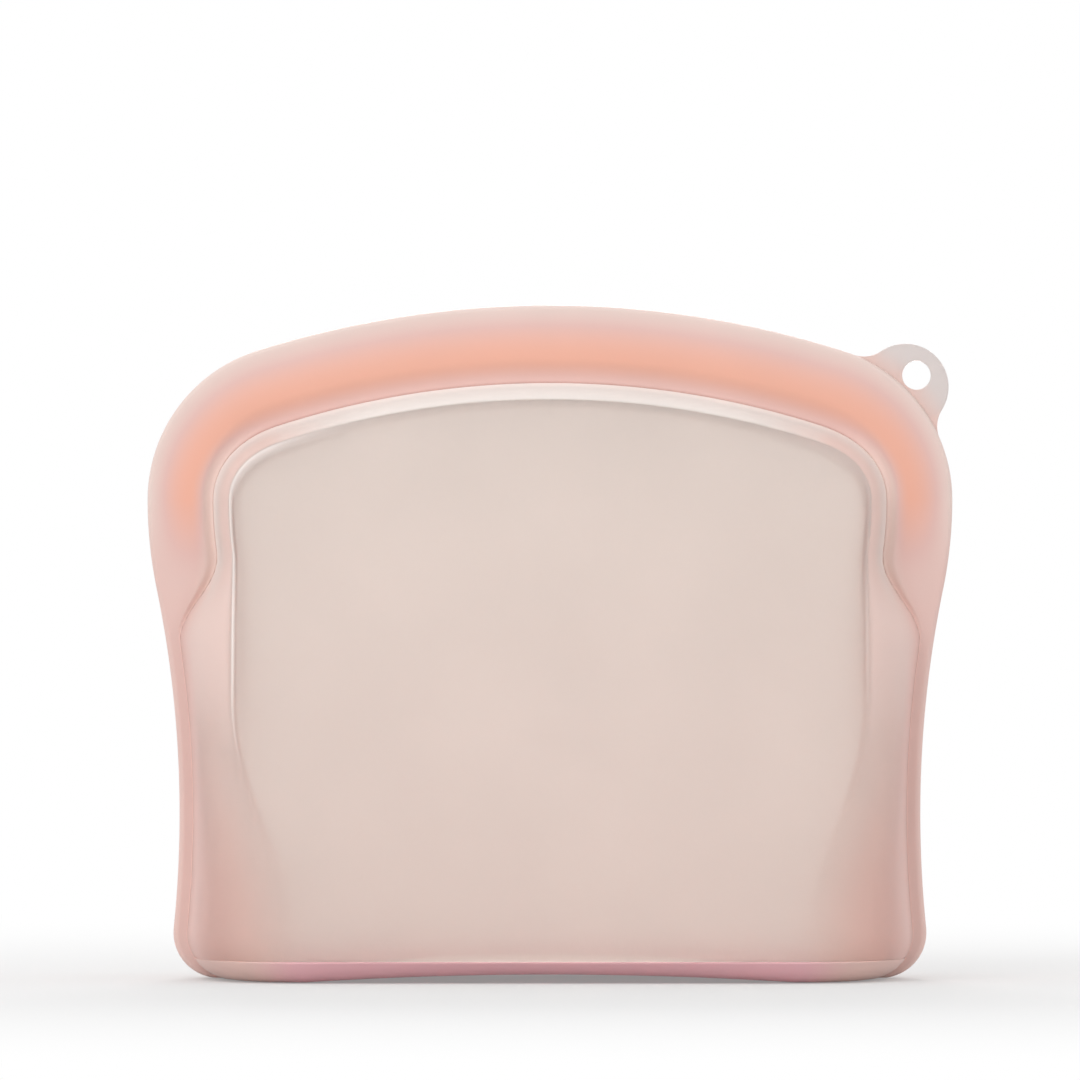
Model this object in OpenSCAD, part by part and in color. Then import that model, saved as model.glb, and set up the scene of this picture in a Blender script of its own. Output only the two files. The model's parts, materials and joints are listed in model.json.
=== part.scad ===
// Stand-up storage bag moulded in soft silicone, with an arched mouth that presses shut.
// Millimetres, Z up. The origin is on the ground under the middle of the bag.
// X runs along the mouth, the front wall faces -Y, and the hang tab is on the back lip at +X.

/* [Overall] */
// Width across the shoulders of the rim
bag_w = 186; // [176:1:196]
// Height from the ground to the top of the arch
bag_h = 155.5; // [150:0.5:164]
// Depth of the body where it is fullest
bag_d = 76; // [60:1:90]

/* [Outline] */
// Radius of the arched top edge
crown_r = 222; // [190:1:280]
// Radius of the two top corners
shoulder_r = 36; // [32:0.5:42]
// Radius of the flank just below each top corner
flank_r = 102; // [90:1:120]
// How far each flank draws in at the waist
waist_in = 7.4; // [6:0.1:9]
// Height of the waist
waist_z = 38; // [30:1:44]
// Radius of the two bottom corners
corner_r = 10.5; // [8:0.5:13]

/* [Body] */
// Thickness of the walls
wall_t = 1.2; // [1:0.1:1.6]
// Height of the inner floor above the ground
floor_z = 4.8; // [4:0.2:6]
// Rise of the arch under the base
base_rise = 1.8; // [1:0.1:2.4]
// Distance from the middle to where the base meets the ground
land_x = 56; // [48:1:60]
// How far the edge of the base stands out from the walls
base_ledge = 0.6; // [0.3:0.1:1]
// How far the walls tuck in at the ground
foot_tuck = 8; // [5:0.5:10]
// Height over which they tuck in
foot_h = 14; // [11:1:18]
// Height at which the body is fullest
full_z = 24; // [18:1:30]
// Depth across both walls just under the rim
neck_d = 18; // [14:1:24]
// Width of the slope from the rim down to the crease round each panel
shoulder_w = 4; // [3:0.5:6]
// Width of the flat of each wall at the ground
flat_w = 112; // [100:1:120]
// Height from which the creases beside it run straight up to the rim
crease_z = 65; // [55:1:75]

/* [Rim] */
// Width of the rim from its outer edge to the body, at the crown
rim_w = 18; // [17:0.5:20]
// The same at the ends of the mouth
rim_end_w = 15.2; // [14.6:0.1:16.4]
// Thickness of each lip at its outer edge
lip_t = 1.6; // [1.4:0.1:2]
// Thickness of each lip at its bead
bead_t = 3.4; // [3.2:0.1:4]
// Distance of the bead's crest from the outer edge
bead_u = 12.5; // [11.5:0.1:13]
// Distance of the bead's inner foot from the outer edge
valley_u = 16; // [15:0.1:16.5]
// Thickness of the side seams, both walls together
seam_t = 3.2; // [2.8:0.1:4]
// Width of the side seams
seam_w = 3.2; // [2.6:0.1:4.5]

/* [Seal] */
// Distance of the seal track from the outer edge
track_u = 11.5; // [10.5:0.1:12.5]
// Width of the tongue
tongue_w = 2; // [1.6:0.1:2.4]
// Height of the tongue above the middle plane
tongue_h = 1.9; // [1.6:0.1:2.1]
// Clearance round the tongue in its groove
seal_clear = 0.3; // [0.2:0.05:0.4]
// Draft on each wall of the groove
seal_draft = 0.3; // [0.2:0.05:0.5]
// Gap between the two closed lips
lip_gap = 0.3; // [0.2:0.05:0.4]

/* [Mouth] */
// Drop of the mouth's ends below the middle of the top corners
mouth_drop = 12.5; // [9:0.5:15]
// Angle that each lip swings open
open_angle = 45; // [30:1:50]
// Height of the tapered stop below each end of the mouth
stop_h = 21; // [16:1:26]
// Height of the folding band above the mouth's ends
fold_rise = 5; // [4:0.5:6]
// Spare height below the folded lip
fold_spare = 3; // [2:0.5:6]
// Gap where a piece that moves meets one that doesn't
split_gap = 0.3; // [0.2:0.05:0.5]

/* [Hang tab] */
// Direction of the tab from the middle of the top corner
tab_angle = 46; // [42:1:48]
// Radius of the tab
tab_r = 10; // [9:0.1:10.2]
// Distance of the tab's middle outside the rim's edge
tab_out = 0.2; // [0:0.1:0.6]
// Diameter of the hole
hole_d = 6.6; // [5:0.1:6.8]
// Distance of the hole's middle outside the rim's edge
hole_out = 3.9; // [3.9:0.1:4.2]
// Radius of the blends between tab and rim
tab_blend_r = 7; // [5:0.5:8]

/* [Hidden] */
$fn = 180;
rim_colour = [0.95, 0.71, 0.64];
wall_colour = [0.90, 0.82, 0.79];
tab_colour = [0.87, 0.81, 0.80];
// Centres of the outline's arcs, each tangent to the next
crown_z = bag_h - crown_r;
shoulder_x = bag_w / 2 - shoulder_r;
shoulder_z = crown_z + sqrt(pow(crown_r - shoulder_r, 2) - pow(shoulder_x, 2));
crown_angle = asin(shoulder_x / (crown_r - shoulder_r));
flank_x = bag_w / 2 - flank_r;
waist_rise = shoulder_z - waist_z;
waist_r = (pow(flank_r - waist_in, 2) + pow(waist_rise, 2) - pow(flank_r, 2)) / (2 * waist_in);
waist_x = bag_w / 2 - waist_in + waist_r;
flank_angle = atan2(waist_rise, waist_x - flank_x);
foot_x = waist_x - sqrt(pow(waist_r + corner_r, 2) - pow(waist_z - corner_r, 2));
corner_top = corner_r * (waist_r + waist_z) / (waist_r + corner_r);
// Heights of the mouth, its stops and its folding bands
mouth_z = shoulder_z - mouth_drop;
stop_z = mouth_z - stop_h;
neck_z = bag_h - rim_w;
fold_top = mouth_z + fold_rise;
fold_low = mouth_z - body_y(mouth_z) * sin(open_angle) + fold_rise * cos(open_angle) - fold_spare;
panel_z = fold_top + split_gap;
mouth_flange = half_width(mouth_z) - half_width(mouth_z, rim_end_w);
crease_x = half_width(mouth_z, rim_end_w + shoulder_w);
groove_half = tongue_w / 2 + seal_clear;
groove_edge = groove_half + seal_draft;
groove_depth = tongue_h + seal_clear;
// How round the walls' sides are: near a flat slope with a crease at the neck, and full at the ground
crease_power = 1.2;
edge_power = 2.3;
side_power = 2.4;
// Mesh of the walls: shares of the sides from the edge to the crease, bays across, and rows up each stretch
edge_shares = [0, 0.1, 0.3, 0.6, 0.85, 1];
wall_bays = 12;
foot_rows = [for (i = [0 : 3]) lerp(floor_z, foot_h, i / 3)];
wall_rows = [for (i = [1 : 12]) lerp(foot_h, fold_low - split_gap, i / 12)];
fold_rows = [for (i = [0 : 3]) lerp(fold_low, fold_top, i / 3)];
base_rows = [for (i = [-1 : 5]) i < 0 ? -1 : floor_z * pow(i / 5, 1.5)];
stop_rows = [for (i = [0 : 8]) lerp(stop_z, mouth_z - split_gap / 2, i / 8)];
seam_rows = [for (i = [0 : 30]) lerp(floor_z, stop_z, i / 30)];
stop_columns = [for (i = [0 : 16]) 1 - i / 16];
// Stations from the crown at 0, round the top corner from 1 and down the flank from 2
crown_stations = [for (i = [0 : 5]) i / 6];
corner_stations = [for (i = [0 : 8]) 1 + i / 9];
flank_stations = [for (i = [0 : 2]) 2 + i / 2];
half_arch = concat(crown_stations, corner_stations, flank_stations);
arch_stations = concat([for (i = [len(half_arch) - 1 : -1 : 1]) -half_arch[i]], half_arch);
// Mesh of a neck panel: shares of the way up to the crease, each with its share of the slope beyond
panel_bays = 5;
panel_steps = concat(
    [for (j = [0 : panel_bays - 1]) [j / panel_bays, 1]],
    [for (j = [len(edge_shares) - 1 : -1 : 0]) [1, edge_shares[j]]]
);
// Share of the lower edge that the lines of the panel fan out from
spine_share = 0.9;
// Steps across a lip from the body to its outer edge, with the groove's walls among them
lip_steps = concat(
    [rim_w + wall_t],
    [for (i = [0 : 2]) lerp(valley_u, track_u + groove_edge, i / 3)],
    [for (offset = [groove_edge, groove_half, -groove_half, -groove_edge]) track_u + offset],
    [for (i = [3 : -1 : 0]) (track_u - groove_edge) * i / 4]
);
tongue_steps = [for (i = [0 : 6]) -cos(180 * i / 6)];

function lerp(a, b, q) = a + (b - a) * q;

function ease(q) = (1 - cos(180 * min(max(q, 0), 1))) / 2;

// Half width of the outline at a height, drawn in by an inset that only the mouth uses
function half_width(z, inset = 0) =
    z >= shoulder_z + (shoulder_r - inset) * cos(crown_angle)
        ? sqrt(max(0, pow(crown_r - inset, 2) - pow(z - crown_z, 2)))
    : z >= shoulder_z ? shoulder_x + sqrt(pow(shoulder_r - inset, 2) - pow(z - shoulder_z, 2))
    : z >= shoulder_z - (flank_r - inset) * sin(flank_angle)
        ? flank_x + sqrt(pow(flank_r - inset, 2) - pow(z - shoulder_z, 2))
    : z >= corner_top ? waist_x - sqrt(pow(waist_r + inset, 2) - pow(z - waist_z, 2))
    : foot_x + sqrt(pow(corner_r, 2) - pow(corner_r - max(z, 0), 2));

// Width of the flat margin beside the body: the seam, widening to the rim at the mouth
function flange(z) = lerp(seam_w, mouth_flange, ease((z - stop_z) / stop_h));

function body_x(z, skin) =
    z < mouth_z ? half_width(z) - flange(z) - skin : half_width(z, rim_end_w + skin);

function tuck(z) = foot_tuck * (1 - sqrt(1 - pow(max(0, 1 - max(z, 0) / foot_h), 2)));

function body_y(z) = lerp(bag_d, neck_d, ease((z - full_z) / (neck_z - full_z))) / 2 - tuck(z);

// How far down towards the ground, from 0 at the neck to 1
function lowness(z) = pow(1 - min(max(z, 0) / neck_z, 1), side_power);

// Width of the side of a wall from its edge to its crease
function round_w(z) =
    z < mouth_z ? body_x(z, 0) - lerp(flat_w / 2, crease_x, ease(z / crease_z)) : shoulder_w;

// Rise of a side from its edge at 0 to its crease at 1
function swell(z, share) =
    let (power = lerp(crease_power, edge_power, lowness(z)))
    pow(1 - pow(1 - min(share, 1), power), 1 / power);

// Distance of a skin from the middle plane
function depth(z, share, skin) = lerp(seam_t / 2, body_y(z) - skin, swell(z, share));

// Shares of the side at one edge, full across the middle, and back again at the other edge
function across(reach, wide) =
    let (side = [for (share = edge_shares) [reach - share * wide, share]],
        flat = reach - wide,
        middle = [for (i = [1 : wall_bays - 1]) [lerp(-flat, flat, i / wall_bays), 1]])
    concat([for (p = side) [-p.x, p.y]], middle, [for (i = [len(side) - 1 : -1 : 0]) side[i]]);

// One row of the wall at a height, standing out by a ledge
function wall_row(z, skin, ledge = 0) =
    [for (p = across(body_x(z, skin), round_w(z)))
        [p.x, -depth(z, p.y, skin) - ledge * swell(z, p.y), z]];

function corner_point(angle, inset) =
    [shoulder_x, shoulder_z] + (shoulder_r - inset) * [cos(angle), sin(angle)];

// One point of a neck panel, on the line from its lower edge up to a station of the arch
function panel_point(i, step, skin) =
    let (k = arch_stations[i],
        inset = rim_w + skin,
        wide = round_w(rim_point(k, inset, panel_z).y),
        end = body_x(panel_z, skin + wide) * spine_share,
        spine = [lerp(-end, end, i / (len(arch_stations) - 1)), panel_z],
        p = lerp(spine, rim_xz(k, inset + step[1] * wide, panel_z), step[0]))
    [p.x, -depth(p.y, step[1], skin), p.y];

function panel_rows(skin) =
    [for (step = panel_steps) [for (i = [0 : len(arch_stations) - 1]) panel_point(i, step, skin)]];

function base_row(z) =
    let (edge = half_width(z), margin = seam_t / 2)
    concat([[-edge, -margin, z]], wall_row(z, 0, base_ledge), [[edge, -margin, z]]);

// Thickness of one lip at a distance from its outer edge
function lip_thickness(u) =
    u < bead_u ? lerp(lip_t, bead_t, ease(u / bead_u))
    : lerp(bead_t, seam_t / 2, ease((u - bead_u) / (valley_u - bead_u)));

// The stop fades from the closed rim's section at the mouth to the seam's thickness
function stop_row(z) =
    let (wide = flange(z) + wall_t, full = ease((z - stop_z) / stop_h))
    [for (v = stop_columns)
        let (u = v * (rim_w + wall_t), share = drawn_in(2, u) / (rim_end_w + wall_t))
        [half_width(z) - wide * share, -lerp(seam_t / 2, lip_thickness(u), full), z]];

function to_back(rows) = [for (row = rows) [for (p = row) [p.x, -p.y, p.z]]];

// Inside the bead the rim narrows round the top corners, from the crown to the ends of the mouth
function drawn_in(n, inset) =
    let (squeeze = lerp(rim_w, rim_end_w, ease(n - 1)) - bead_u)
    inset < bead_u ? inset
    : bead_u + min((inset - bead_u) / (rim_w - bead_u), 1) * squeeze + max(0, inset - rim_w);

// Front view of the right half of the rim at a station, in from its outer edge
function rim_point(k, inset, end_z) =
    let (n = abs(k), turn = crown_angle * n, drawn = drawn_in(n, inset))
    n < 1 ? [0, crown_z] + (crown_r - drawn) * [sin(turn), cos(turn)]
    : n < 2 ? corner_point((90 - crown_angle) * (2 - n), drawn)
    : let (z = lerp(shoulder_z, end_z, n - 2)) [half_width(z, drawn), z];

function rim_xz(k, inset, end_z) =
    let (p = rim_point(k, inset, end_z))
    [(k < 0 ? -1 : 1) * p.x, p.y];

// One line along the arch, at an inset and a height above the middle plane
function rim_line(inset, height, end_z) =
    [for (k = arch_stations)
        let (p = rim_xz(k, inset, end_z))
        [p.x, -height, p.y]];

// The ends of a lip slope up outwards, so that an open lip lies on its stop
function lip_end(height) = mouth_z + split_gap / 2 + (height - lip_gap / 2) * tan(open_angle);

function lip_line(inset, height) = rim_line(inset, height, lip_end(height));

function groove_height(u) = abs(u - track_u) < groove_half + seal_draft / 2 ? groove_depth : lip_gap / 2;

// Closed sheet between two grids of points that share their rows and columns
module sheet(outer, inner) {
    rows = len(outer);
    columns = len(outer[0]);
    side = rows * columns;
    points = concat([for (row = outer) each row], [for (row = inner) each row]);
    ends = [for (j = [0 : columns - 2])
        let (a = j, c = side - 1 - j)
        each [[a, a + 1, side + a + 1], [a, side + a + 1, side + a],
            [c, c - 1, side + c - 1], [c, side + c - 1, side + c]]];
    edges = [for (i = [0 : rows - 2])
        let (a = i * columns, d = a + columns, b = d - 1, c = b + columns)
        each [[d, a, side + a], [d, side + a, side + d], [b, c, side + c], [b, side + c, side + b]]];
    skins = [for (i = [0 : rows - 2], j = [0 : columns - 2])
        let (a = i * columns + j, b = a + 1, c = b + columns, d = a + columns, left = 2 * j < columns - 1)
        for (f = left ? [[a, d, c], [a, c, b]] : [[a, d, b], [b, d, c]])
            each [f, [side + f[0], side + f[2], side + f[1]]]];
    polyhedron(points, concat(ends, edges, skins));
}

module to_side(side) {
    mirror([side < 0 ? 1 : 0, 0, 0]) children();
}

module at_back() {
    mirror([0, 1, 0]) children();
}

module wall(rows) {
    sheet([for (z = rows) wall_row(z, 0)], [for (z = rows) wall_row(z, wall_t)]);
}

module neck_panel() {
    sheet(panel_rows(0), panel_rows(wall_t));
}

module lip(grooved) {
    outer = [for (u = lip_steps) lip_line(u, lip_thickness(u))];
    inner = [for (u = lip_steps) lip_line(u, grooved ? groove_height(u) : lip_gap / 2)];
    sheet(outer, inner);
}

module side_seam() {
    outer = [for (z = seam_rows) [half_width(z), z]];
    inner = [for (i = [len(seam_rows) - 1 : -1 : 0]) [body_x(seam_rows[i], wall_t), seam_rows[i]]];
    rotate([90, 0, 0])
        linear_extrude(seam_t, center = true)
            polygon(concat(outer, inner));
}

module mouth_stop() {
    rows = [for (z = stop_rows) stop_row(z)];
    sheet(rows, to_back(rows));
}

// Thick floor, arched underneath so that the bag stands on its two ends
module base_panel() {
    rows = [for (z = base_rows) base_row(z)];
    color(wall_colour)
        difference() {
            sheet(rows, to_back(rows));
            translate([-bag_w, -bag_w, -bag_h])
                cube([2 * bag_w, 2 * bag_w, bag_h]);
            rotate([90, 0, 0])
                linear_extrude(2 * bag_d, center = true)
                    polygon([for (i = [-12 : 12]) [land_x * i / 12, base_rise * (1 - pow(i / 12, 2))]]);
        }
}

module front_wall() {
    color(wall_colour) wall(concat(foot_rows, wall_rows));
}

module back_wall() {
    at_back() front_wall();
}

module left_side_seam() {
    color(rim_colour) to_side(-1) side_seam();
}

module right_side_seam() {
    color(rim_colour) side_seam();
}

module left_mouth_stop() {
    color(rim_colour) to_side(-1) mouth_stop();
}

module right_mouth_stop() {
    color(rim_colour) mouth_stop();
}

module front_fold_band() {
    color(wall_colour) wall(fold_rows);
}

module back_fold_band() {
    at_back() front_fold_band();
}

module front_neck_panel() {
    color(wall_colour) neck_panel();
}

module back_neck_panel() {
    at_back() front_neck_panel();
}

// The front lip holds the groove of the seal
module front_rim() {
    color(rim_colour) lip(true);
}

module back_rim() {
    color(rim_colour) at_back() lip(false);
}

// The rib on the back lip that presses into the groove
module seal_tongue() {
    foot = mouth_z + split_gap / 2;
    tip = tongue_h - tongue_w / 2;
    insets = [for (c = tongue_steps) track_u - c * tongue_w / 2];
    heights = [for (c = tongue_steps) tip + tongue_w / 2 * sqrt(1 - c * c)];
    count = len(insets) - 1;
    color(rim_colour)
        sheet([for (i = [0 : count]) rim_line(insets[i], heights[i], foot)],
            [for (u = insets) rim_line(u, -lip_gap / 2, foot)]);
}

// Round tab on the edge of the back lip, with blends that run out along the rim
module hang_tab() {
    along = [cos(tab_angle), sin(tab_angle)];
    middle = (shoulder_r + tab_out) * along;
    to_blend = shoulder_r + tab_blend_r;
    reach = norm(middle);
    blend_turn = acos((pow(to_blend, 2) + pow(reach, 2) - pow(tab_r + tab_blend_r, 2))
        / (2 * to_blend * reach));
    blends = [for (turn = [-blend_turn, blend_turn])
        to_blend * [cos(tab_angle + turn), sin(tab_angle + turn)]];
    thick = lip_t - lip_gap / 2;
    color(tab_colour)
        translate([shoulder_x, lip_t, shoulder_z])
            rotate([90, 0, 0])
                difference() {
                    union() {
                        translate(middle) cylinder(r = tab_r, h = thick);
                        linear_extrude(thick) polygon([[0, 0], blends[0], middle, blends[1]]);
                    }
                    for (b = blends)
                        translate([b.x, b.y, -thick]) cylinder(r = tab_blend_r, h = 3 * thick);
                    translate([0, 0, -thick]) cylinder(r = shoulder_r, h = 3 * thick);
                    translate(concat((shoulder_r + hole_out) * along, [-thick]))
                        cylinder(d = hole_d, h = 3 * thick);
                }
}

base_panel();
front_wall();
back_wall();
left_side_seam();
right_side_seam();
left_mouth_stop();
right_mouth_stop();
front_fold_band();
back_fold_band();
front_neck_panel();
front_rim();
back_neck_panel();
back_rim();
seal_tongue();
hang_tab();
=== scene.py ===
import json
import math

import bmesh
import bpy
from mathutils import Matrix, Vector
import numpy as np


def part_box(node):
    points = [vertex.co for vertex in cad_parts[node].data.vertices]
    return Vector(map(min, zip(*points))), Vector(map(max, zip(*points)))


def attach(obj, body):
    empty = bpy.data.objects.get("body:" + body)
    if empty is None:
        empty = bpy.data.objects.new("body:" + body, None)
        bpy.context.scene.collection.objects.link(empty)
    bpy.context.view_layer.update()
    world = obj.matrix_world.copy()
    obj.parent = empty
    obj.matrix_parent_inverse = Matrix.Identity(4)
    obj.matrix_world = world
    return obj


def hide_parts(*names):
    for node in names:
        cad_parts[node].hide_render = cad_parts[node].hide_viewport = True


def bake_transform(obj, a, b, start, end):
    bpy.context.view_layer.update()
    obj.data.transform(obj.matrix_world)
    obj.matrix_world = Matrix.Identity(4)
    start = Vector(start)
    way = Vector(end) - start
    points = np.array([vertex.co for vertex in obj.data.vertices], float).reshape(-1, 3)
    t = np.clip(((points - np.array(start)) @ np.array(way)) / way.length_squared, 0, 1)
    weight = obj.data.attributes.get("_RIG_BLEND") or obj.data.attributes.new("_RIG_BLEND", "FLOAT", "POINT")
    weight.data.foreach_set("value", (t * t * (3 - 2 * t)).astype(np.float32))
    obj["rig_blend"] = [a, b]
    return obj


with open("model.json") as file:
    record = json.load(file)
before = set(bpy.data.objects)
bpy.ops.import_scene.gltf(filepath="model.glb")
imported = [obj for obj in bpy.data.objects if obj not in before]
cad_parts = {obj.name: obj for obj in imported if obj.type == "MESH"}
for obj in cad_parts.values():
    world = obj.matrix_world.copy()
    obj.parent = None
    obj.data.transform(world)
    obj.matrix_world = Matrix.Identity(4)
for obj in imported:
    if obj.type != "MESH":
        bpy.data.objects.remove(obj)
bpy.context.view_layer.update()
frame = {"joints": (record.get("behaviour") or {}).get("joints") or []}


# Base: the thick floor of the bag, moulded in one with the walls in the same soft silicone.
# It is arched underneath, so the bag stands on its two ends, and its edge stands out from the
# walls as a narrow ledge with a rounded top that catches the light.
mm_per_m = 1000
bag_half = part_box("front_rim")[1].x
bag_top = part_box("front_rim")[1].z
body_half = -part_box("front_wall")[0].y
floor_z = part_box("front_wall")[0].z
mouth_z = frame["joints"][0]["pos_m"][2]
crown_r = 0.222
shoulder_r = 0.036
flank_r = 0.102
corner_r = 0.0105
waist_in = 0.0074
waist_z = 0.038
crown_z = bag_top - crown_r
shoulder_x = bag_half - shoulder_r
shoulder_z = crown_z + math.sqrt((crown_r - shoulder_r) ** 2 - shoulder_x**2)
crown_turn = math.asin(shoulder_x / (crown_r - shoulder_r))
flank_x = bag_half - flank_r
waist_rise = shoulder_z - waist_z
waist_r = ((flank_r - waist_in) ** 2 + waist_rise**2 - flank_r**2) / (2 * waist_in)
waist_x = bag_half - waist_in + waist_r
flank_turn = math.atan2(waist_rise, waist_x - flank_x)
foot_x = waist_x - math.sqrt((waist_r + corner_r) ** 2 - (waist_z - corner_r) ** 2)
corner_top = corner_r * (waist_r + waist_z) / (waist_r + corner_r)


def half_width(z, inset=0):
    # The outline from the front is a row of arcs: crown, top corner, flank, waist, bottom corner
    if z >= shoulder_z + (shoulder_r - inset) * math.cos(crown_turn):
        return math.sqrt(max(0, (crown_r - inset) ** 2 - (z - crown_z) ** 2))
    if z >= shoulder_z:
        return shoulder_x + math.sqrt((shoulder_r - inset) ** 2 - (z - shoulder_z) ** 2)
    if z >= shoulder_z - (flank_r - inset) * math.sin(flank_turn):
        return flank_x + math.sqrt((flank_r - inset) ** 2 - (z - shoulder_z) ** 2)
    if z >= corner_top:
        return waist_x - math.sqrt((waist_r + inset) ** 2 - (z - waist_z) ** 2)
    return foot_x + math.sqrt(corner_r**2 - (corner_r - max(z, 0)) ** 2)


def lerp(a, b, share):
    return a + (b - a) * share


def ease(share):
    return (1 - math.cos(math.pi * min(max(share, 0), 1))) / 2


rim_w = 0.018
rim_end_w = 0.0152
bead_u = 0.0125
seam_w = 0.0032
seam_half = 0.0016
stop_h = 0.021
stop_z = mouth_z - stop_h
mouth_flange = half_width(mouth_z) - half_width(mouth_z, rim_end_w)


def lip_share(z):
    # 0 down the side seams, rising through the stops to 1 from the ends of the mouth upwards
    return ease((z - stop_z) / stop_h)


def drawn_in(turn, inset):
    # Inside its bead the rim narrows round the top corners, from the crown to the mouth's ends
    if inset < bead_u:
        return inset
    squeeze = lerp(rim_w, rim_end_w, ease(turn - 1)) - bead_u
    return bead_u + min((inset - bead_u) / (rim_w - bead_u), 1) * squeeze + max(0, inset - rim_w)


def inner_x(z, inset):
    # Below the mouth the margin inside the outline narrows from the rim to the side seam
    drawn = drawn_in(2, inset)
    if z >= mouth_z:
        return half_width(z, drawn)
    flange = lerp(seam_w, mouth_flange, lip_share(z))
    return half_width(z) - flange * min(drawn / rim_end_w, 1) - max(0, inset - rim_w)


neck_z = bag_top - rim_w
neck_half = 0.009
full_z = 0.024
foot_h = 0.014
foot_tuck = 0.008
shoulder_w = 0.004
flat_half = 0.056
crease_z = 0.065
crease_x = inner_x(mouth_z, rim_w + shoulder_w)
crease_power = 1.2
edge_power = 2.3
low_power = 2.4


def body_y(z):
    # Half the depth of the bag: it tucks in at the foot and draws together towards the mouth
    tuck = foot_tuck * (1 - math.sqrt(1 - max(0, 1 - max(z, 0) / foot_h) ** 2))
    return lerp(body_half, neck_half, ease((z - full_z) / (neck_z - full_z))) - tuck


def lowness(z):
    # 1 on the ground, falling to 0 at the neck
    return (1 - min(max(z, 0) / neck_z, 1)) ** low_power


def round_w(z):
    # Width of the side of a wall from its margin to its crease
    if z >= mouth_z:
        return shoulder_w
    return inner_x(z, rim_w) - lerp(flat_half, crease_x, ease(z / crease_z))


def depth(z, share, skin):
    # A wall rises from its margin at 0 to its flat at 1, with a crease near the mouth
    power = lerp(crease_power, edge_power, lowness(z))
    swell = (1 - (1 - min(share, 1)) ** power) ** (1 / power)
    return lerp(seam_half, body_y(z) - skin, swell)


base_ledge = 0.0006
ledge_r = 0.0005
base_rise = 0.0018
land_x = 0.056
join_gap = 0.00001
base_haze = 0.75
corner_mm = 1.9
corner_share = 0.4
base_tones = [(corner_mm, "#f6d6cd"), (mm_per_m * floor_z, "#f8c6cc")]
base_sides = 24
base_bays = 40
bridge_bays = 8
base_levels = [0, 0.06, 0.16, 0.3, 0.5, 0.7, 0.88, 0.93, 0.97, 1]
base_bridge = [i / bridge_bays for i in range(1, bridge_bays)]
base_loop = (
    [(level, -1) for level in base_levels]
    + [(1, 2 * share - 1) for share in base_bridge]
    + [(level, 1) for level in reversed(base_levels)]
    + [(0, 1 - 2 * share) for share in base_bridge]
    + [(0, -1)]
)
base_columns = (
    [(-1, ease(i / base_sides)) for i in range(base_sides)]
    + [(lerp(-1, 1, i / base_bays), 1) for i in range(base_bays + 1)]
    + [(1, ease(1 - i / base_sides)) for i in range(1, base_sides + 1)]
)


def base_point(across, along):
    # The base is a deeper pink along its flat, and pales to the tone of the walls at its corners
    flat, share = base_columns[round(across * (len(base_columns) - 1))]
    level, side = base_loop[round(along * (len(base_loop) - 1))]
    z = (floor_z - join_gap) * level
    x = flat * inner_x(z, rim_w + share * round_w(z))
    round_off = max(0, 1 - (floor_z - z) / ledge_r)
    ledge = base_ledge - ledge_r * (1 - math.sqrt(1 - round_off**2))
    y = depth(z, share, 0) + ledge * share
    rise = base_rise * max(0, 1 - (x / land_x) ** 2)
    pinkness = ease((share - corner_share) / (1 - corner_share))
    tone_mm = lerp(corner_mm, mm_per_m * floor_z, pinkness)
    return (x, side * y, lerp(rise, floor_z - join_gap, level)), tone_mm, base_haze


def placed_grid(bm, columns, rows, place):
    # A place is a point, the millimetres of silicone that give its tone, and how hazy it is
    layers = bm.verts.layers.float
    depth_mm = layers.get("depth_mm") or layers.new("depth_mm")
    haze = layers.get("haze") or layers.new("haze")
    for v in bmesh.ops.create_grid(bm, x_segments=columns, y_segments=rows, size=1)["verts"]:
        v.co, v[depth_mm], v[haze] = place((v.co.x + 1) / 2, (v.co.y + 1) / 2)


weld_gap = 1e-6


def close_tube(bm):
    # The last row of a grid that goes round is welded to its first, and its two ends are filled
    bmesh.ops.remove_doubles(bm, verts=bm.verts, dist=weld_gap)
    bmesh.ops.holes_fill(bm, edges=[e for e in bm.edges if e.is_boundary], sides=0)


def finished(name, bm):
    bmesh.ops.recalc_face_normals(bm, faces=bm.faces)
    for face in bm.faces:
        face.smooth = True
    mesh = bpy.data.meshes.new(name)
    bm.to_mesh(mesh)
    bm.free()
    piece = bpy.data.objects.new(name, mesh)
    bpy.context.scene.collection.objects.link(piece)
    return piece


bm = bmesh.new()
placed_grid(bm, len(base_columns) - 1, len(base_loop) - 1, base_point)
close_tube(bm)
base_panel = finished("base_panel", bm)


def linear(code):
    parts = [int(code[i : i + 2], 16) / 255 for i in (1, 3, 5)]
    return [c / 12.92 if c <= 0.04045 else ((c + 0.055) / 1.055) ** 2.4 for c in parts] + [1]


def add_node(tree, kind, inputs, **settings):
    node = tree.nodes.new(kind)
    for key, value in settings.items():
        setattr(node, key, value)
    for key, value in inputs.items():
        socket = next(s for s in node.inputs if key in (s.identifier, s.name))
        if isinstance(value, bpy.types.NodeSocket):
            tree.links.new(value, socket)
        else:
            socket.default_value = value
    return node


ramp_mm = 6
cloud_size = 0.030
cloud_change = 0.04
smudge_size = 0.012
clean_roughness = 0.36
smudged_roughness = 0.46
grain_size = 0.0011
grain_height = 0.0001
grain_strength = 0.1
silicone_ior = 1.2


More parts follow.
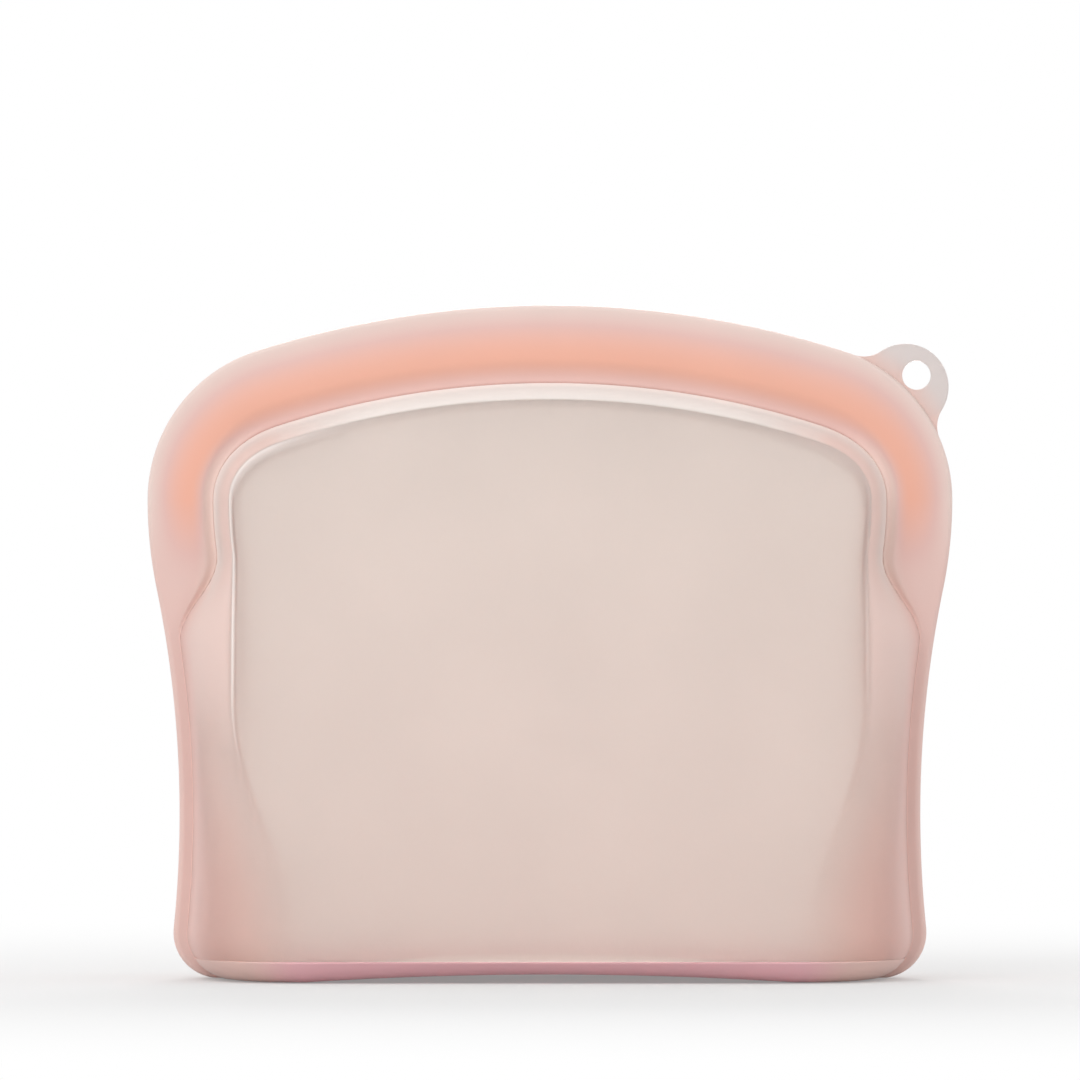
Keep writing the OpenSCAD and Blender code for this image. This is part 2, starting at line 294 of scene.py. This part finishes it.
def milky_silicone(name, tones):
    # Moulded translucent silicone: light passes a thin wall almost straight, under a milky veil,
    # and thick places turn a deeper tone. The satin skin has faint smudges and a grain, drawn
    # coarser than the real one so that it shows. The IOR is under silicone's 1.41, because a lower
    # one keeps rounded edges light.
    material = bpy.data.materials.new(name)
    material.use_nodes = True
    tree = material.node_tree
    tree.nodes.clear()
    place = add_node(tree, "ShaderNodeTexCoord", {}).outputs["Object"]
    thickness = add_node(tree, "ShaderNodeAttribute", {}, attribute_name="depth_mm")
    share = add_node(
        tree,
        "ShaderNodeMath",
        {"Value": thickness.outputs["Fac"], "Value_001": ramp_mm},
        operation="DIVIDE",
    )
    haze = add_node(tree, "ShaderNodeAttribute", {}, attribute_name="haze")
    clear = add_node(
        tree,
        "ShaderNodeMath",
        {"Value": 1.0, "Value_001": haze.outputs["Fac"]},
        operation="SUBTRACT",
    )
    tone = add_node(tree, "ShaderNodeValToRGB", {"Fac": share.outputs["Value"]})
    marks = tone.color_ramp.elements
    while len(marks) < len(tones):
        marks.new(1)
    for mark, (mm, code) in zip(marks, tones):
        mark.position = mm / ramp_mm
        mark.color = linear(code)
    cloud = add_node(
        tree, "ShaderNodeTexNoise", {"Vector": place, "Scale": 1 / cloud_size, "Detail": 2.0}
    )
    veil = add_node(
        tree,
        "ShaderNodeMapRange",
        {"Value": cloud.outputs["Fac"], "To Min": 1 - cloud_change, "To Max": 1 + cloud_change},
    )
    colour = add_node(
        tree,
        "ShaderNodeVectorMath",
        {"Vector": tone.outputs["Color"], "Scale": veil.outputs["Result"]},
        operation="SCALE",
    )
    smudge = add_node(
        tree, "ShaderNodeTexNoise", {"Vector": place, "Scale": 1 / smudge_size, "Detail": 3.0}
    )
    satin = add_node(
        tree,
        "ShaderNodeMapRange",
        {"Value": smudge.outputs["Fac"], "To Min": clean_roughness, "To Max": smudged_roughness},
    )
    grain = add_node(
        tree, "ShaderNodeTexNoise", {"Vector": place, "Scale": 1 / grain_size, "Detail": 1.0}
    )
    skin = add_node(
        tree,
        "ShaderNodeBump",
        {"Height": grain.outputs["Fac"], "Strength": grain_strength, "Distance": grain_height},
    )
    shader = add_node(
        tree,
        "ShaderNodeBsdfPrincipled",
        {
            "Base Color": colour.outputs["Vector"],
            "Roughness": satin.outputs["Result"],
            "IOR": silicone_ior,
            "Normal": skin.outputs["Normal"],
            "Transmission Weight": clear.outputs["Value"],
        },
    )
    add_node(tree, "ShaderNodeOutputMaterial", {"Surface": shader.outputs["BSDF"]})
    return material


base_panel.data.materials.append(milky_silicone("thick_silicone", base_tones))
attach(base_panel, "pouch")
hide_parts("base_panel")


# Walls: two thin sheets of silicone, each moulded in one from the base up to the arched rim.
# A crease runs round the flat of each sheet near the mouth and fades out down its sides. The top
# of a sheet bends when its lip opens.
wall_t = 0.0012
lip_gap = 0.0003
seam_gap = 0.00004
spine_share = 0.9
crown_steps = 30
corner_steps = 24
side_steps = 64
side_power = 1.5
half_arch = (
    [i / crown_steps for i in range(crown_steps)]
    + [1 + i / corner_steps for i in range(corner_steps)]
    + [2 + i / side_steps for i in range(side_steps + 1)]
)
arch = [-n for n in reversed(half_arch[1:])] + half_arch
wall_bays = 60
slope_shares = [0.97, 0.92, 0.85, 0.75, 0.62, 0.48, 0.34, 0.22, 0.12, 0.05, 0]
wall_steps = [(i / wall_bays, 1) for i in range(wall_bays + 1)]
wall_steps += [(1, share) for share in slope_shares]


def station(across):
    return arch[round(across * (len(arch) - 1))]


def border(n, inset, low):
    # Stations run over the crown from 0, round the top corner from 1 and down the side from 2,
    # where they lie closer together towards the bottom
    turn = abs(n)
    drawn = drawn_in(turn, inset)
    if turn < 1:
        angle = crown_turn * turn
        x = (crown_r - drawn) * math.sin(angle)
        z = crown_z + (crown_r - drawn) * math.cos(angle)
    elif turn < 2:
        angle = (math.pi / 2 - crown_turn) * (2 - turn)
        x = shoulder_x + (shoulder_r - drawn) * math.cos(angle)
        z = shoulder_z + (shoulder_r - drawn) * math.sin(angle)
    else:
        z = low + (shoulder_z - low) * (3 - turn) ** side_power
        x = inner_x(z, inset)
    return math.copysign(x, n), z


def middle_gap(z):
    # Half the slit between the two lips, which narrows to a hair down the seams
    return lerp(seam_gap, lip_gap / 2, lip_share(z))


# The palest tone, under the thickness of a wall, is used only by the painted highlight under the crown
silicone_tones = [
    (0.8, "#fdf9f5"),
    (1.2, "#f5ede8"),
    (1.7, "#f3dcd4"),
    (2.4, "#f0c9c1"),
    (3.4, "#fbbfa9"),
]
silicone = milky_silicone("milky_silicone", silicone_tones)
# Tones below are millimetres of silicone, and haze runs from 0, clear, to 1, milky
# The next three values paint a highlight: a pale band on the slope under the crown, which faces up into the
# light
crown_highlight_mm = 0.95
crown_highlight_from = 0.55
crown_highlight_to = 1.25
# The crease values paint a highlight: a whiter, hazier line along the crease, fading down the sides, and
# weaker on the right, away from the light
crease_highlight_mm = 1.2
crease_highlight_haze = 0.85
crease_foot = 0.042
crease_full = 0.078
crease_share = 0.1
right_crease_highlight = 0.35
slope_mm = 1.75
slope_haze = 0.72
# The next two paint light: a paler tone at the slope's margin beside the rim, over the arch, which lifts the
# shade there
slope_margin_light_mm = 1.3
slope_margin_light_share = 0.7
foot_mm = 0.1
side_mm = 0.65
side_rise = 1.4
low_tone_power = 0.4
low_haze_share = 0.35
wall_haze = 0.2
edge_mm = 2.2
edge_haze = 1.0
low_edge_haze = 0.7
edge_share = 0.3


def wall_look(n, climb, share, z):
    # The flat is clear. A pale band under the crown is a painted highlight, and so is the bright
    # line down the crease of each side, fainter on the right, away from the light. The sides are pinker,
    # and turn cloudy where they meet the seams. Over the arch, the paler margin of the slope by the rim
    # is painted light on its shade.
    # Mask of the painted highlight under the crown
    crown = 1 - ease((abs(n) - crown_highlight_from) / (crown_highlight_to - crown_highlight_from))
    steep = ease((z - crease_foot) / (crease_full - crease_foot))
    slope = steep * min((1 - share) / crease_share, 1)
    # Mask of the painted highlight along the crease, weakened on the right
    crease = steep * (1 - crown) if climb == 1 and share == 1 else 0
    if n > 0:
        crease *= right_crease_highlight
    raised = lip_share(z)
    edge = ease(1 - share / edge_share)
    low_side = foot_mm + side_mm * ease(side_rise * (1 - share))
    low_mm = mm_per_m * wall_t + lowness(z) ** low_tone_power * low_side
    # Paler margin over the arch: painted light on the shade beside the rim
    slope_tone = lerp(slope_mm, slope_margin_light_mm, raised * ease(1 - share / slope_margin_light_share))
    tone_mm = lerp(low_mm, lerp(slope_tone, crown_highlight_mm, crown), slope)
    tone_mm = lerp(tone_mm, crease_highlight_mm, crease)
    tone_mm = lerp(tone_mm, edge_mm, edge * (1 - raised))
    turned_away = low_haze_share * ease(2 * min(share, 1 - share))
    haze = lerp(wall_haze, slope_haze, max(slope, turned_away))
    haze = lerp(haze, crease_highlight_haze, crease)
    haze = lerp(haze, lerp(low_edge_haze, edge_haze, raised), edge)
    return tone_mm, haze


def wall_skin(side, skin):
    # A skin climbs from a spine along the base to the crease, and then falls to its margin. The
    # inner skin's margin lies behind the outer one's, at the middle of the bag.
    end = inner_x(floor_z, rim_w + skin + round_w(floor_z)) * spine_share

    def place(across, along):
        n = station(across)
        climb, share = wall_steps[round(along * (len(wall_steps) - 1))]
        edge_z = border(n, rim_w + skin, floor_z)[1]
        x, z = border(n, rim_w + join_gap + skin + share * round_w(edge_z), floor_z)
        x = lerp(lerp(-end, end, across), x, climb)
        z = lerp(floor_z, z, climb)
        y = depth(z, share, skin)
        if skin and share == 0:
            x, z = border(n, rim_w + join_gap, floor_z)
            y = middle_gap(z)
        return (x, side * y, z), *wall_look(n, climb, share, z)

    return place


def wall_sheet(name, side):
    bm = bmesh.new()
    for skin in (0, wall_t):
        placed_grid(bm, len(arch) - 1, len(wall_steps) - 1, wall_skin(side, skin))
    bmesh.ops.bridge_loops(bm, edges=[e for e in bm.edges if e.is_boundary])
    return finished(name, bm)


front_wall = wall_sheet("front_wall", -1)
back_wall = wall_sheet("back_wall", 1)
# The fold runs out and up from the line that the lips swing about, so that the two faces of a
# sheet don't cross where it bends
fold_start = Vector((0, 0, mouth_z))
fold_out = 0.013
fold_up = 0.0192
for piece, side, body in ((front_wall, -1, "front"), (back_wall, 1, "back")):
    piece.data.materials.append(silicone)
    fold_end = fold_start + Vector((0, side * fold_out, fold_up))
    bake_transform(piece, "pouch", body + "_lip", fold_start, fold_end)
    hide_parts(body + "_wall", body + "_fold_band", body + "_neck_panel")


# Rims: the thick arched lips of the mouth, with a bead over the seal, moulded on the walls.
# Below the mouth the two lips join in tapered stops and run on down the sides as a narrow seam.
# The front lip holds the groove of the seal in its inner face.
lip_t = 0.0016
bead_t = 0.0034
valley_u = 0.0176
edge_r = 0.0011
rim_low = 0.0001
track_u = 0.0115
groove_half = 0.0013
groove_edge = 0.0016
groove_depth = 0.0022
groove_fade = 0.002
edge_steps = 6
face_bays = 26
inside_bays = 4
outside_bays = 6
edge_turns = [math.pi / 2 * i / edge_steps for i in range(edge_steps)]
face_shares = [i / face_bays for i in range(face_bays + 1)]
inner_insets = (
    [lerp(rim_w, track_u + groove_edge, i / inside_bays) for i in range(inside_bays + 1)]
    + [track_u + groove_half, track_u - groove_half]
    + [(track_u - groove_edge) * (1 - i / outside_bays) for i in range(outside_bays + 1)]
)
lip_rows = len(edge_turns) + len(face_shares) + len(inner_insets)


def lip_height(u):
    # The lip swells from its thin edge to the bead, and drops to a valley along the wall
    if u < bead_u:
        return lerp(lip_t, bead_t, ease(u / bead_u))
    return lerp(bead_t, seam_half, ease((u - bead_u) / (valley_u - bead_u)))


def lip_section(z, grooved):
    # Once round a lip: its rounded edge, its face, and back along its inner side with the groove
    wide = half_width(z) - inner_x(z, rim_w) if z < mouth_z else rim_w
    edge = edge_r / wide * rim_w
    middle = middle_gap(z)
    groove = groove_depth * min(max((z - mouth_z) / groove_fade, 0), 1) if grooved else 0

    def height(u):
        return lerp(seam_half, lip_height(u), lip_share(z))

    section = []
    for turn in edge_turns:
        u = edge * (1 - math.cos(turn))
        section.append((u, lerp(middle, height(edge), math.sin(turn))))
    for share in face_shares:
        u = lerp(edge, rim_w, share)
        section.append((u, height(u)))
    for u in inner_insets:
        in_groove = abs(u - track_u) < (groove_half + groove_edge) / 2
        section.append((u, max(middle, groove) if in_groove else middle))
    return section


rim_haze = 0.8
valley_haze = 0.88
# The valley's tone along the crown is deeper than its silicone: painted shade in the groove beside the bead
valley_shade_mm = 2.4
valley_end_mm = 1.7
faded_mm = 2.1
seam_mm = 2.1
glow_u = 0.0098
glow_fall = 0.0051
glow_low = 0.090
glow_high = 0.114
glow_power = 0.8


def lip_look(turn, u, z):
    # The glow of the thick bead lies nearer the edge on the flanks, and fades towards the ends of
    # the mouth. The seams are pale pink. Inside the bead, the deeper pink of the valley along the crown
    # is painted shade.
    flank = ease(turn - 1)
    glow = ease((z - glow_low) / (glow_high - glow_low)) if turn > 2 else 1
    peak_u = lerp(bead_u, glow_u, flank)
    peak_mm = lerp(faded_mm, mm_per_m * bead_t, glow)
    if u < peak_u:
        thin_mm = lerp(faded_mm, mm_per_m * lip_t, glow)
        tone_mm = lerp(thin_mm, peak_mm, ease((u / peak_u) ** glow_power))
    else:
        # The valley's tone, deeper along the crown as painted shade
        inner_mm = lerp(valley_shade_mm, valley_end_mm, flank)
        tone_mm = lerp(peak_mm, inner_mm, ease((u - peak_u) / glow_fall))
    inner_haze = lerp(valley_haze, edge_haze, flank)
    haze = lerp(rim_haze, inner_haze, ease((u - bead_u) / (valley_u - bead_u)))
    return lerp(seam_mm, tone_mm, lip_share(z)), haze


def lip_skin(side, grooved):
    def place(across, along):
        n = station(across)
        edge_z = border(n, 0, rim_low)[1]
        u, y = lip_section(edge_z, grooved)[round(along * lip_rows) % lip_rows]
        x, z = border(n, u, rim_low)
        return (x, side * y, z), *lip_look(abs(n), u, edge_z)

    return place


def lip(name, side, grooved):
    bm = bmesh.new()
    placed_grid(bm, len(arch) - 1, lip_rows, lip_skin(side, grooved))
    close_tube(bm)
    return finished(name, bm)


front_rim = lip("front_rim", -1, True)
back_rim = lip("back_rim", 1, False)
for piece, side, body in ((front_rim, -1, "front"), (back_rim, 1, "back")):
    piece.data.materials.append(silicone)
    fold_end = fold_start + Vector((0, side * fold_out, fold_up))
    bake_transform(piece, "pouch", body + "_lip", fold_start, fold_end)
    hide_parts(body + "_rim")
    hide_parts("left_mouth_stop", "right_mouth_stop", "left_side_seam", "right_side_seam")


# Seal tongue: the rounded rib along the inner face of the back lip that presses into the groove.
# It is moulded on the lip and follows the arch from one end of the mouth to the other.
tongue_half = 0.001
tongue_h = 0.0019
tongue_gap = 0.00015
tongue_low = mouth_z + tongue_gap
tongue_bays = 10
tongue_turns = [math.pi * i / tongue_bays for i in range(tongue_bays + 1)]
tongue_rows = len(tongue_turns) + 2


def tongue_point(across, along):
    # Once round the rib: its rounded crest, and the two corners of its root on the lip
    row = round(along * tongue_rows) % tongue_rows
    if row < len(tongue_turns):
        u = track_u - tongue_half * math.cos(tongue_turns[row])
        y = -(tongue_h - tongue_half) - tongue_half * math.sin(tongue_turns[row])
    else:
        u = track_u + tongue_half * (1 if row == len(tongue_turns) else -1)
        y = lip_gap / 2 - join_gap
    x, z = border(station(across), u, tongue_low)
    return (x, y, z), mm_per_m * tongue_h, rim_haze


bm = bmesh.new()
placed_grid(bm, len(arch) - 1, tongue_rows, tongue_point)
close_tube(bm)
seal_tongue = finished("seal_tongue", bm)
seal_tongue.data.materials.append(silicone)
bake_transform(seal_tongue, "pouch", "back_lip", fold_start, fold_start + Vector((0, fold_out, fold_up)))
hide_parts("seal_tongue")


# Hang tab: a round tab with a hole on the edge of the back lip, moulded on as a single thin layer.
# Hollow blends run from it along the rim, and its tone fades from the rim's pink to a pale grey.
tab_turn = math.radians(46)
tab_r = 0.010
tab_out = 0.0002
hole_r = 0.0033
hole_out = 0.0039
hole_sides = 48
tab_blend_r = 0.007
tab_sunk = 0.0009
tab_y = 0.00015
tab_t = lip_t - tab_y
tab_edge_r = 0.0004
tab_edge_steps = 3
sharp_turn = 1.0
arc_step = math.radians(5)
shoulder = Vector((shoulder_x, tab_y, shoulder_z))
tab_way = Vector((math.cos(tab_turn), 0, math.sin(tab_turn)))
reach = shoulder_r + tab_out
tab_middle = shoulder + reach * tab_way
hole_middle = shoulder + (shoulder_r + hole_out) * tab_way
sunk_r = shoulder_r - tab_sunk
to_blend = shoulder_r + tab_blend_r
blend_turn = math.acos(
    (to_blend**2 + reach**2 - (tab_r + tab_blend_r) ** 2) / (2 * to_blend * reach)
)
out_of_front = Vector((0, -1, 0))


def hollow_blend(angle):
    # The middle of a blend, and where it leaves the rim, roots in it and meets the round tab
    middle = shoulder + to_blend * (Matrix.Rotation(angle, 3, out_of_front) @ tab_way)
    away = (middle - shoulder).normalized()
    touch = tab_middle + tab_r * (middle - tab_middle).normalized()
    return middle, shoulder + shoulder_r * away, shoulder + sunk_r * away, touch


def arc(bm, start, middle, end, turn_sign):
    # Seen from the front, an arc with a turn_sign of 1 runs anticlockwise
    a = start - middle
    b = end - middle
    angle = a.angle(b)
    if turn_sign * a.cross(b).dot(out_of_front) < 0:
        angle = 2 * math.pi - angle
    bmesh.ops.spin(
        bm,
        geom=[bm.verts.new(start)],
        cent=middle,
        axis=out_of_front,
        angle=turn_sign * angle,
        steps=math.ceil(angle / arc_step),
        use_duplicate=False,
    )


low_blend, low_start, low_root, low_touch = hollow_blend(-blend_turn)
high_blend, high_start, high_root, high_touch = hollow_blend(blend_turn)
bm = bmesh.new()
arc(bm, low_start, low_blend, low_touch, -1)
arc(bm, low_touch, tab_middle, high_touch, 1)
arc(bm, high_touch, high_blend, high_start, -1)
arc(bm, high_root, shoulder, low_root, -1)
for a, b in ((high_start, high_root), (low_root, low_start)):
    bm.edges.new((bm.verts.new(a), bm.verts.new(b)))
bmesh.ops.create_circle(
    bm,
    segments=hole_sides,
    radius=hole_r,
    matrix=Matrix.Translation(hole_middle) @ Matrix.Rotation(math.pi / 2, 4, "X"),
)
bmesh.ops.remove_doubles(bm, verts=bm.verts, dist=weld_gap)
bmesh.ops.triangle_fill(bm, edges=bm.edges, use_beauty=True)
plate = bmesh.ops.extrude_face_region(bm, geom=bm.faces[:], use_keep_orig=True)
bmesh.ops.translate(
    bm,
    verts=[v for v in plate["geom"] if isinstance(v, bmesh.types.BMVert)],
    vec=(0, tab_t, 0),
)
bmesh.ops.recalc_face_normals(bm, faces=bm.faces)
bmesh.ops.bevel(
    bm,
    geom=[e for e in bm.edges if len(e.link_faces) == 2 and e.calc_face_angle() > sharp_turn],
    offset=tab_edge_r,
    affect="EDGES",
    segments=tab_edge_steps,
    profile=0.5,
    material=-1,
)
tab_mm = mm_per_m * tab_t
tab_root_mm = 2.2
tab_fade = 0.0055
tab_haze = 0.4
tab_tones = [(tab_mm, "#e3dad7"), (2.4, "#f0cfc5")]
depth_mm = bm.verts.layers.float.new("depth_mm")
haze = bm.verts.layers.float.new("haze")
for v in bm.verts:
    out = (v.co - shoulder).length - shoulder_r
    v[depth_mm] = lerp(tab_root_mm, tab_mm, ease(out / tab_fade))
    v[haze] = tab_haze
hang_tab = finished("hang_tab", bm)
hang_tab.data.materials.append(milky_silicone("single_layer_silicone", tab_tones))
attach(hang_tab, "back_lip")
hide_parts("hang_tab")


# Floor: a plain sheet of matt pale paper just under the bag, which takes its soft shadow.
# To the eye it turns even white away from the bag, and a share of that white lightens the shadow.
floor_half = 6
floor_drop = 0.0002
shadow_from = 0.12
shadow_to = 0.5
shadow_white = 0.25
bm = bmesh.new()
bmesh.ops.create_grid(bm, x_segments=1, y_segments=1, size=floor_half)
bmesh.ops.translate(bm, verts=bm.verts, vec=(0, 0, -floor_drop))
floor = finished("floor", bm)
paper = bpy.data.materials.new("white_paper")
paper.use_nodes = True
tree = paper.node_tree
tree.nodes.clear()
place = add_node(tree, "ShaderNodeTexCoord", {}).outputs["Object"]
away = add_node(tree, "ShaderNodeVectorMath", {"Vector": place}, operation="LENGTH")
whiteness = add_node(
    tree,
    "ShaderNodeMapRange",
    {
        "Value": away.outputs["Value"],
        "From Min": shadow_from,
        "From Max": shadow_to,
        "To Min": shadow_white,
    },
    interpolation_type="SMOOTHSTEP",
)
ray = add_node(tree, "ShaderNodeLightPath", {})
direct = add_node(
    tree,
    "ShaderNodeMath",
    {"Value": ray.outputs["Is Camera Ray"], "Value_001": ray.outputs["Is Glossy Ray"]},
    operation="MAXIMUM",
)
shown = add_node(
    tree,
    "ShaderNodeMath",
    {"Value": direct.outputs["Value"], "Value_001": ray.outputs["Is Transmission Ray"]},
    operation="MAXIMUM",
)
white_share = add_node(
    tree,
    "ShaderNodeMath",
    {"Value": shown.outputs["Value"], "Value_001": whiteness.outputs["Result"]},
    operation="MULTIPLY",
)
matt = add_node(tree, "ShaderNodeBsdfDiffuse", {"Color": linear("#d8d8d8")})
white = add_node(tree, "ShaderNodeEmission", {"Color": linear("#ffffff"), "Strength": 1.0})
mixed = add_node(
    tree,
    "ShaderNodeMixShader",
    {
        "Fac": white_share.outputs["Value"],
        "Shader": matt.outputs["BSDF"],
        "Shader_001": white.outputs["Emission"],
    },
)
add_node(tree, "ShaderNodeOutputMaterial", {"Surface": mixed.outputs["Shader"]})
floor.data.materials.append(paper)


# Light: even white all round, as in a light tent.
# A lamp behind the bag draws its shadow forward, and a weaker, wider one at the front left is the
# key that models its face.
light_aim = Vector((0, 0, 0.08))
world = bpy.data.worlds.new("even_white")
bpy.context.scene.world = world
world.use_nodes = True
tree = world.node_tree
tree.nodes.clear()
sky = add_node(tree, "ShaderNodeBackground", {"Color": linear("#ffffff"), "Strength": 1.0})
add_node(tree, "ShaderNodeOutputWorld", {"Surface": sky.outputs["Background"]})
for name, spot, size, power in (
    ("back_light", Vector((0.0, 1.3, 0.9)), 0.6, 8.0),
    ("key_light", Vector((-0.6, -1.1, 0.9)), 0.9, 5.0),
):
    lamp = bpy.data.lights.new(name, "AREA")
    lamp.size = size
    lamp.energy = power
    light = bpy.data.objects.new(name, lamp)
    light.location = spot
    light.rotation_euler = (light_aim - spot).to_track_quat("-Z", "Y").to_euler()
    bpy.context.scene.collection.objects.link(light)


# Camera: level, and far off on a long lens, so that the bag shows almost without perspective.
# It looks straight at the front wall, with the bag low in the frame.
camera_back = 3.0
frame_width = 0.2496
sensor = 36
aim = Vector((-0.0023, 0, 0.1012))
camera_data = bpy.data.cameras.new("camera")
camera_data.sensor_width = sensor
camera_data.lens = sensor * camera_back / frame_width
camera_data.clip_end = 20
camera = bpy.data.objects.new("camera", camera_data)
camera.location = aim + Vector((0, -camera_back, 0))
camera.rotation_euler = (math.pi / 2, 0, 0)
bpy.context.scene.collection.objects.link(camera)
bpy.context.scene.camera = camera
bpy.context.scene.view_settings.view_transform = "Standard"
